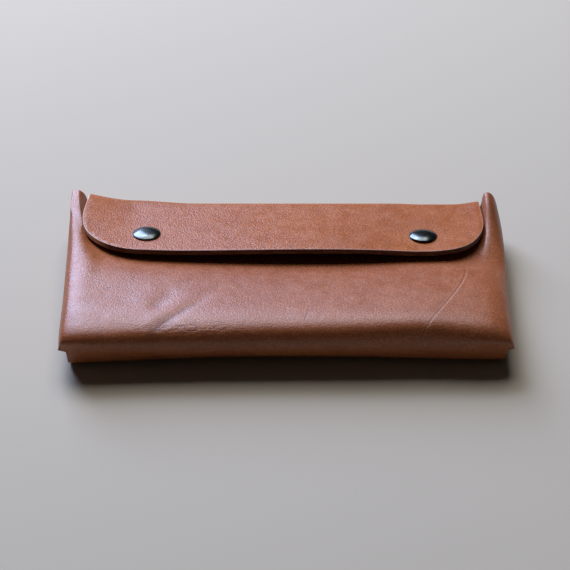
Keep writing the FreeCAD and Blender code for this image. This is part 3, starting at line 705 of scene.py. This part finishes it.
def front_place(point):
    """Where a corner of the divided box goes."""
    side = -1 if point.x < 0 else 1
    width = abs(point.x)
    index = nearest(point.y, [row[0] for row in PANEL_ROWS])
    row_y, heights = PANEL_ROWS[index]
    shelf_x, shelf_z, foot_x, foot_z, ridge_x, ridge_z, shoulder_x, shoulder_z, wall_x = (
        LEFT_SIDE if side < 0 else RIGHT_SIDE)[index]
    column = nearest(width, SIDE_LINES) if width > PANEL_STATIONS[-1] + 1 else -1
    near = index == len(PANEL_ROWS) - 1
    if point.z > BOX_TOP - 1:
        if column >= 0:
            x = (shelf_x, foot_x, ridge_x, shoulder_x)[column]
            z = (shelf_z, foot_z, ridge_z, shoulder_z)[column]
        else:
            x = width
            z = between(point.x, PANEL_STATIONS, heights)
        y = row_y
        bent = index - len(PANEL_ROWS) + len(ROLL_ROWS)
        if bent >= 0:
            y = between(point.x, PANEL_STATIONS, ROLL_ROWS[bent])
            y += ROLL_ENDS[column] if column >= 0 else 0.0
        if index == 0:
            y -= MOUTH_SCOOP * (1 - ease(width, *SCOOP_ENDS))
        return side * x, y, z
    low = point.z < BOX_HEM + 1
    height = BOX_HEM if low else BOX_HEM + WALL_ABOVE_HEM
    if near:
        height += hem_height(point.x) - BOX_HEM
        ends = LEFT_ENDS if side < 0 else RIGHT_ENDS
        x, y = ends[column] if column >= 0 else (width, between(point.x, PANEL_STATIONS, ROLL_ROWS[-1]))
        if low and column == len(SIDE_LINES) - 1:
            x, y, height = LEFT_TIP if side < 0 else RIGHT_TIP
        tuck = HEM_TUCK * (1 - ease(width, *TUCK_ENDS)) if low else 0.0
        return side * x, y + tuck, height
    return side * wall_x, row_y, height


def strip_place(point, step):
    """Where a corner of the base strip goes, after its extrusion."""
    middle, left, right = STRIP_STEPS[step]
    end = left if point.x < 0 else right
    share = ease(abs(point.x), 15, STRIP_HALF)
    y = middle[0] + (end[0] - middle[0]) * share
    z = middle[1] + (end[1] - middle[1]) * share
    return point.x, y, z


def crease_settle(point):
    """Press the creases into the panel: a valley with a soft swelling beside it."""
    sink = 0.0
    for start, end, half, depth in CREASES:
        run = Vector(end) - Vector(start)
        offset = Vector((point.x, point.y)) - Vector(start)
        along = offset.dot(run) / run.length_squared
        across = (offset.x * run.y - offset.y * run.x) / run.length
        fade = ease(along, -0.1, 0.3) * (1 - ease(along, 0.75, 1.1))
        valley = math.exp(-(across / half) ** 2)
        swelling = math.exp(-((across - SWELLING_PLACE * half) / (SWELLING_WIDTH * half)) ** 2)
        sink += depth * fade * (valley - SWELLING_SHARE * swelling)
    return point.x, point.y, point.z - sink * ease(point.z, 15, 19)


def make_front_hide():
    """The front panel and the base strip: a box open below and at the mouth, divided and drawn to shape."""
    deselect()
    middle = mm(0, (BOX_NEAR + BOX_MOUTH) / 2, (BOX_TOP + BOX_HEM) / 2)
    bpy.ops.mesh.primitive_cube_add(size=1, location=middle)
    hide = name_piece("front_and_base_hide", mm(2 * BOX_HALF, BOX_MOUTH - BOX_NEAR, BOX_TOP - BOX_HEM))
    open_mesh("FACE")
    pick(hide, "FACE", lambda p: p.z < BOX_HEM + 0.1)
    bpy.ops.mesh.delete(type="FACE")
    pick(hide, "FACE", lambda p: p.y > BOX_MOUTH - 0.1)
    bpy.ops.mesh.delete(type="FACE")
    for x in PANEL_LINES + SIDE_LINES[:-1]:
        for side in ((1,) if x == 0 else (-1, 1)):
            cut(mm(side * x, 0, 0), (1, 0, 0))
    for row in PANEL_ROWS[1:-1]:
        cut(mm(0, row[0], 0), (0, 1, 0))
    cut(mm(0, 0, WALL_LINE), (0, 0, 1))
    pick(hide, "EDGE", lambda p: p.z < BOX_HEM + 0.1 and abs(p.x) < STRIP_HALF and p.y < BOX_NEAR + 0.1)
    close_mesh()
    shape(hide, front_place)
    bpy.ops.object.mode_set(mode="EDIT")
    for step in range(len(STRIP_STEPS)):
        extrude(0, 0, -1)
        mesh = bmesh.from_edit_mesh(hide.data)
        for vert in mesh.verts:
            if vert.select:
                vert.co = Vector(strip_place(vert.co / MM, step)) * MM
        bmesh.update_edit_mesh(hide.data)
    pick(hide, "EDGE", at_wing)
    bpy.ops.transform.edge_crease(value=WING_CRISP)
    for outer, inner, low, near, crispness in LEFT_CRISP:
        pick(hide, "EDGE", lambda p: outer < p.x < inner and p.z > low and p.y > near)
        bpy.ops.transform.edge_crease(value=crispness)
    pick(hide, "VERT", at_strip_end)
    bpy.ops.transform.vert_crease(value=STRIP_END_CRISP)
    close_mesh()
    face_out(hide, lambda place, normal: normal.z > 0 if place.z > 20 else normal.y < 0)
    smooth_out(hide, 3)
    shape(hide, crease_settle)
    return hide


front_hide = make_front_hide()
dress(front_hide, front_grain, hide_flesh, hide_edge)
thicken(front_hide, LEATHER)
finish_smooth(front_hide)
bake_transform(front_hide)
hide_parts("front_panel", "base_panel")


# Back panel and the lower half of the fold
BACK_NEAR = -36.5
BACK_HALF = 92.0
FOLD_STEP = 5.0
# Half widths of the fold
LEFT_HALF = 89.2
RIGHT_HALF = 88.6
# How far its ends step out, and from which x on: the step is full at the end
LEFT_FLARE = 3.8
LEFT_FLARE_FROM = 70.0
LEFT_FLARE_RUN = 19.0
LEFT_SWEEP = 2.0
LEFT_LIFT = 3.3
LEFT_LIFT_FROM = 68.0
LEFT_LIFT_RUN = 21.0
RIGHT_FLARE = 1.4
RIGHT_FLARE_FROM = 79.0
RIGHT_FLARE_RUN = 9.6
RIGHT_DIP = 0.5
RIGHT_LIFT = 0.35
BACK_STEP = 1.24
# How fast the flare and the lift grow towards the end
FLARE_POWER = 1.5
LIFT_POWER = 1.3
# Share of the lift that the flap's near edge has, too
LIFT_SHARE = 0.55


def fold_flare(point):
    """The fold's ends flare out from its middle, most of all on the left: a step back and up."""
    x, y, z = point
    along = ease(y, 14, 44)
    left = LEFT_FLARE * max((-x - LEFT_FLARE_FROM) / LEFT_FLARE_RUN, 0.0) ** FLARE_POWER * along
    left += LEFT_SWEEP * ease(-x, 40, 70) * min(max((y + 13) / 57, 0.0), 1.0)
    right = RIGHT_FLARE * max((x - RIGHT_FLARE_FROM) / RIGHT_FLARE_RUN, 0.0) ** FLARE_POWER
    right = (right - RIGHT_DIP * ease(x, 48, 64) * (1 - ease(x, 76, 87))) * along
    lift = LEFT_LIFT * max((-x - LEFT_LIFT_FROM) / LEFT_LIFT_RUN, 0.0) ** LIFT_POWER
    lift *= LIFT_SHARE + (1 - LIFT_SHARE) * ease(y, 5, 44)
    lift += RIGHT_LIFT * right
    back = BACK_STEP * (left + right - lift)
    return Vector((0, back, lift)) * ease(z, 6, 14.5)


def fold_settle(point):
    """Where a corner of the back or the fold goes."""
    return point + fold_flare(point)


def make_back_hide():
    """The back panel, spun up at its far edge into the lower half of the fold."""
    deselect()
    bpy.ops.mesh.primitive_plane_add(size=1, location=mm(0, (BACK_NEAR + FOLD_Y) / 2, 0))
    hide = name_piece("back_and_fold_hide", mm(2 * BACK_HALF, FOLD_Y - BACK_NEAR, 1))
    open_mesh("VERT")
    cut_columns(6, 15)
    cut_rows(BACK_NEAR, 10, 7)
    pick(hide, "EDGE", lambda p: p.y > FOLD_Y - 0.1)
    turn = 90 + SEAM_ANGLE
    bpy.ops.mesh.spin(steps=round(turn / FOLD_STEP), angle=-math.radians(turn),
                      center=mm(0, FOLD_Y, FOLD_RADIUS), axis=(1, 0, 0))
    close_mesh()

    def place(point):
        """Where a corner goes as the back narrows towards the fold."""
        narrow = (LEFT_HALF if point.x < 0 else RIGHT_HALF) / BACK_HALF
        share = ease(point.y, BACK_NEAR, FOLD_Y)
        return Vector((point.x * (1 + (narrow - 1) * share), point.y, point.z))

    shape(hide, place)
    shape(hide, fold_settle)
    face_out(hide, lambda place, normal: normal.z < 0 if place.y < 40 else normal.y > 0)
    return hide


def at_seam(point):
    """Whether a point lies on the seam between the back's hide and the flap's."""
    return point.y > SEAM_NEAR and abs(point.z - FOLD_RADIUS) < SEAM_HALF


back_hide = make_back_hide()
dress(back_hide, back_grain, hide_flesh, hide_edge)
thicken(back_hide, LEATHER, keeps_seam=at_seam)
finish_smooth(back_hide)
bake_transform(back_hide)
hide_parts("back_panel", "flap_fold")


# Flap and the upper half of the fold
TILT = math.radians(FLAP_TILT)
FLAP_ALONG = Vector((0, -math.cos(TILT), math.sin(TILT)))
FLAP_UP = Vector((0, math.sin(TILT), math.cos(TILT)))
FLAP_ROOT = Vector((0, FOLD_Y, FOLD_RADIUS)) + FLAP_UP * FOLD_RADIUS
FLAP_GRID = 3
# Pull of the studs on the closed flap: x and depth of each, and how far it reaches
STUD_PULLS = ((-SNAP_X, 0.2), (SNAP_X, 0.75))
PULL_WIDTH = 17.0
# Rise of the flap's free edge, and the height, stretch and start of the waves along it
FLAP_RISE = 0.25
FLAP_WAVE = 0.35
WAVE_STRETCH = 19.0
WAVE_START = 0.8
# Swelling of the flap's two ends, with its place and width along the flap
LEFT_SWELL = 1.6
RIGHT_SWELL = 0.8
SWELL_PLACE = 15.0
SWELL_WIDTH = 12.0
# How far the flap's right corner reaches forward
CORNER_REACH = 1.75


def flap_settle(point):
    """The closed flap is drawn down at its studs, and its ends rise with the fold."""
    along = (point - FLAP_ROOT).dot(FLAP_ALONG)
    over = ease(along, 8, 34)
    pull = sum(depth * math.exp(-((point.x - x) / PULL_WIDTH) ** 2) for x, depth in STUD_PULLS)
    wave = FLAP_WAVE * math.sin(point.x / WAVE_STRETCH + WAVE_START) * (1 - ease(abs(point.x), 45, 80))
    sag = over * (FLAP_RISE + wave - pull)
    swell = math.exp(-((along - SWELL_PLACE) / SWELL_WIDTH) ** 2)
    half = LEFT_HALF + LEFT_SWELL * swell if point.x < 0 else RIGHT_HALF + RIGHT_SWELL * swell
    corner = CORNER_REACH * ease(point.x, 67, 85) * ease(along, 16, 34)
    place = Vector((point.x * half / FLAP_HALF, point.y, point.z))
    return place + fold_flare(place) + Vector((0, -corner, sag))


def make_flap_hide():
    """The flap with its round corners, spun down at its root into the upper half of the fold."""
    deselect()
    middle = FLAP_ROOT + FLAP_ALONG * FLAP_LENGTH / 2
    bpy.ops.mesh.primitive_plane_add(size=1, location=middle * MM, rotation=(-TILT, 0, 0))
    hide = name_piece("flap_hide", mm(2 * FLAP_HALF, FLAP_LENGTH, 1))
    open_mesh("VERT")
    pick(hide, "VERT", lambda p: (p - FLAP_ROOT).dot(FLAP_ALONG) > FLAP_LENGTH - 1)
    bpy.ops.mesh.bevel(offset=FLAP_CORNER * MM, segments=14, affect="VERTICES")
    cut_columns(FLAP_GRID, 29)
    for index in range(1, 14):
        cut((FLAP_ROOT + FLAP_ALONG * index * FLAP_GRID) * MM, FLAP_ALONG)
    pick(hide, "EDGE", lambda p: (p - FLAP_ROOT).dot(FLAP_ALONG) < 0.1)
    turn = 90 - FLAP_TILT - SEAM_ANGLE
    bpy.ops.mesh.spin(steps=round(turn / FOLD_STEP), angle=math.radians(turn),
                      center=mm(0, FOLD_Y, FOLD_RADIUS), axis=(1, 0, 0))
    close_mesh()
    shape(hide, flap_settle)
    face_out(hide, lambda place, normal: normal.z > 0)
    return hide


def paint_rim_highlight(hide):
    """Give the strip of the rounded edge that is next to the grain side the material of the painted rim
    highlight.
    """
    hold(hide)
    open_mesh("FACE")
    mesh = bmesh.from_edit_mesh(hide.data)
    for face in mesh.faces:
        face.select = face.material_index == GRAIN
    bpy.ops.mesh.select_more()
    for face in mesh.faces:
        if face.select and face.material_index == CUT_EDGE:
            face.material_index = RIM
    bmesh.update_edit_mesh(hide.data)
    close_mesh()


flap_hide = make_flap_hide()
dress(flap_hide, flap_grain, hide_flesh, flap_edge, flap_rim_highlight)
thicken(flap_hide, LEATHER, keeps_seam=at_seam, easing=FLAP_EASE)
paint_rim_highlight(flap_hide)
finish_smooth(flap_hide)
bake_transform(flap_hide)
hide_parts("flap")


# Gussets
# Near and far section of the right gusset: x and z from the flange's edge to the top of the wall
GUSSET_NEAR = -37.4
GUSSET_FAR = 40.6
GUSSET_NEAR_LINE = ((91.1, 3.1), (84.1, 3.1), (78.7, 7.4), (91.8, 9.6), (91.8, 14.3))
GUSSET_FAR_LINE = ((88.2, 3.1), (81.2, 3.1), (75.8, 5.2), (94.1, 6.4), (94.1, 14.3))
PLEAT_ROUNDING = 1.1


def make_gusset(node, side):
    """A pleated gusset, drawn at the right and set to its own side."""
    deselect()
    near, far = GUSSET_NEAR_LINE, GUSSET_FAR_LINE
    middle = mm((near[0][0] + near[1][0]) / 2, (GUSSET_NEAR + GUSSET_FAR) / 2, near[0][1])
    bpy.ops.mesh.primitive_plane_add(size=1, location=middle)
    gusset = name_piece(node + "_pleat", mm(near[0][0] - near[1][0], GUSSET_FAR - GUSSET_NEAR, 1))
    open_mesh("EDGE")
    pick(gusset, "EDGE", lambda p: p.x < near[1][0] + 0.1)
    for start, end in zip(near[1:], near[2:]):
        extrude(end[0] - start[0], 0, end[1] - start[1])
    cut_rows(GUSSET_NEAR, 10, 7)
    close_mesh()

    def place(point):
        """Where a corner goes between the near and the far section."""
        index = min(range(len(near)), key=lambda i: abs(near[i][0] - point.x) + abs(near[i][1] - point.z))
        share = (point.y - GUSSET_NEAR) / (GUSSET_FAR - GUSSET_NEAR)
        x = near[index][0] + (far[index][0] - near[index][0]) * share
        z = near[index][1] + (far[index][1] - near[index][1]) * share
        return side * x, point.y, z

    shape(gusset, place)
    even_normals(gusset)
    dress(gusset, gusset_grain, gusset_flesh, gusset_edge)
    apply_modifier(gusset, "BEVEL", width=PLEAT_ROUNDING * MM, segments=3, limit_method="ANGLE",
                   angle_limit=math.radians(25))
    apply_modifier(gusset, "SOLIDIFY", thickness=GUSSET_LEATHER * MM, offset=0.0,
                   material_offset=FLESH, material_offset_rim=CUT_EDGE)
    finish_smooth(gusset)
    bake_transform(gusset)
    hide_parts(node)


make_gusset("left_gusset", -1)
make_gusset("right_gusset", 1)


# Snap caps
DOME_RINGS = 11
DOME_POWER = 2.8
RIM_ROUNDING = 0.25
# Side, x, depth in the leather and lean of each cap
CAPS = (("left", -SNAP_X, 0.1, 1.0), ("right", SNAP_X, 0.45, 4.0))


def make_cap(name, x, sunk, lean):
    """A snap cap: flat in its crown and round at its rim, sunk into the leather and leaning back a little."""
    deselect()
    seat = FLAP_ROOT + FLAP_ALONG * (FLAP_LENGTH - CAP_INSET) + Vector((x, 0, 0))
    seat += fold_flare(seat) - FLAP_UP * sunk
    bpy.ops.mesh.primitive_cylinder_add(vertices=72, radius=CAP_RADIUS * MM, depth=CAP_RIM * MM,
                                        location=mm(0, 0, CAP_RIM / 2))
    cap = name_piece(name)
    open_mesh("FACE")
    heights = [(CAP_HEIGHT - CAP_RIM) * (1 - (1 - step / (DOME_RINGS + 1)) ** DOME_POWER)
               for step in range(DOME_RINGS + 1)]
    pick(cap, "FACE", lambda p: p.z > CAP_RIM - 0.01)
    for low, high in zip(heights, heights[1:]):
        bpy.ops.mesh.inset(thickness=CAP_RADIUS / (DOME_RINGS + 1) * MM, depth=(high - low) * MM)
    close_mesh()
    apply_modifier(cap, "BEVEL", width=RIM_ROUNDING * MM, segments=4, limit_method="ANGLE",
                   angle_limit=math.radians(40))
    turn = Matrix.Rotation(-TILT - math.radians(lean), 3, "X")
    shape(cap, lambda p: turn @ p + seat)
    dress(cap, snap_metal)
    finish_smooth(cap, 50)
    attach(cap, "flap")
    return cap


for cap_side, cap_x, cap_sunk, cap_lean in CAPS:
    snap_cap = make_cap(cap_side + "_snap_dome", cap_x, cap_sunk, cap_lean)
    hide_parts(cap_side + "_snap_cap")

# Pieces of the frame that keep their own shape
for node, piece in frame["nodes"].items():
    if node.endswith(("_socket", "_stud", "_snap_post")):
        dress(piece, snap_metal)
    elif node.endswith("_spring"):
        dress(piece, spring_metal)
    elif "_rivet_" in node:
        dress(piece, rivet_metal)


# Floor, light and camera, in metres
FLOOR_SIZE = 6.0
FLOOR_DROP = 0.0002
FLOOR_COLOUR = colour(0.54, 0.49, 0.37)
LAMP_AIM = (0, 0, 0.01)
AMBIENT = 0.025
# The camera's fit to the photo
PHOTO_WIDTH = 570
FOCAL_PIXELS = 2000
SENSOR_WIDTH = 36.0
CAMERA_ELEVATION = 38.8
CAMERA_DISTANCE = 0.878
CAMERA_TARGET = mm(0.1, -6.0, 10.0)


def make_floor():
    """A plain pale floor, just under the case."""
    deselect()
    bpy.ops.mesh.primitive_plane_add(size=FLOOR_SIZE, location=(0, 0, -FLOOR_DROP))
    floor = name_piece("floor")
    material, tree, shader = new_material("pale floor")
    shader.inputs["Base Color"].default_value = FLOOR_COLOUR
    shader.inputs["Roughness"].default_value = 0.85
    dress(floor, material)


def add_lamp(name, place, size, power, tint):
    """A soft rectangular lamp, turned to the case."""
    lamp_data = bpy.data.lights.new(name, "AREA")
    lamp_data.shape = "RECTANGLE"
    lamp_data.size, lamp_data.size_y = size
    lamp_data.energy = power
    lamp_data.color = tint
    lamp = bpy.data.objects.new(name, lamp_data)
    bpy.context.scene.collection.objects.link(lamp)
    lamp.location = place
    lamp.rotation_euler = (Vector(LAMP_AIM) - Vector(place)).to_track_quat("-Z", "Y").to_euler()


def add_camera(elevation, distance, target):
    """The photo's camera, straight in front of the case and looking down on it."""
    camera_data = bpy.data.cameras.new("camera")
    camera_data.sensor_fit = "HORIZONTAL"
    camera_data.sensor_width = SENSOR_WIDTH
    camera_data.lens = FOCAL_PIXELS / PHOTO_WIDTH * SENSOR_WIDTH
    camera = bpy.data.objects.new("camera", camera_data)
    bpy.context.scene.collection.objects.link(camera)
    angle = math.radians(elevation)
    camera.location = target + distance * Vector((0, -math.cos(angle), math.sin(angle)))
    camera.rotation_euler = (math.radians(90 - elevation), 0, 0)
    bpy.context.scene.camera = camera


make_floor()
add_lamp("window", (-0.59, 1.15, 0.90), (0.8, 1.1), 30.0, (0.75, 0.88, 1.34))
add_lamp("ceiling", (-0.10, 0.80, 1.40), (1.1, 0.9), 14.0, (0.98, 0.95, 1.02))
add_camera(CAMERA_ELEVATION, CAMERA_DISTANCE, CAMERA_TARGET)

scene = bpy.context.scene
scene.view_settings.view_transform = "Standard"
world = bpy.data.worlds.new("studio")
scene.world = world
world.use_nodes = True
world.node_tree.nodes["Background"].inputs["Color"].default_value = colour(0.95, 0.97, 1.0)
world.node_tree.nodes["Background"].inputs["Strength"].default_value = AMBIENT
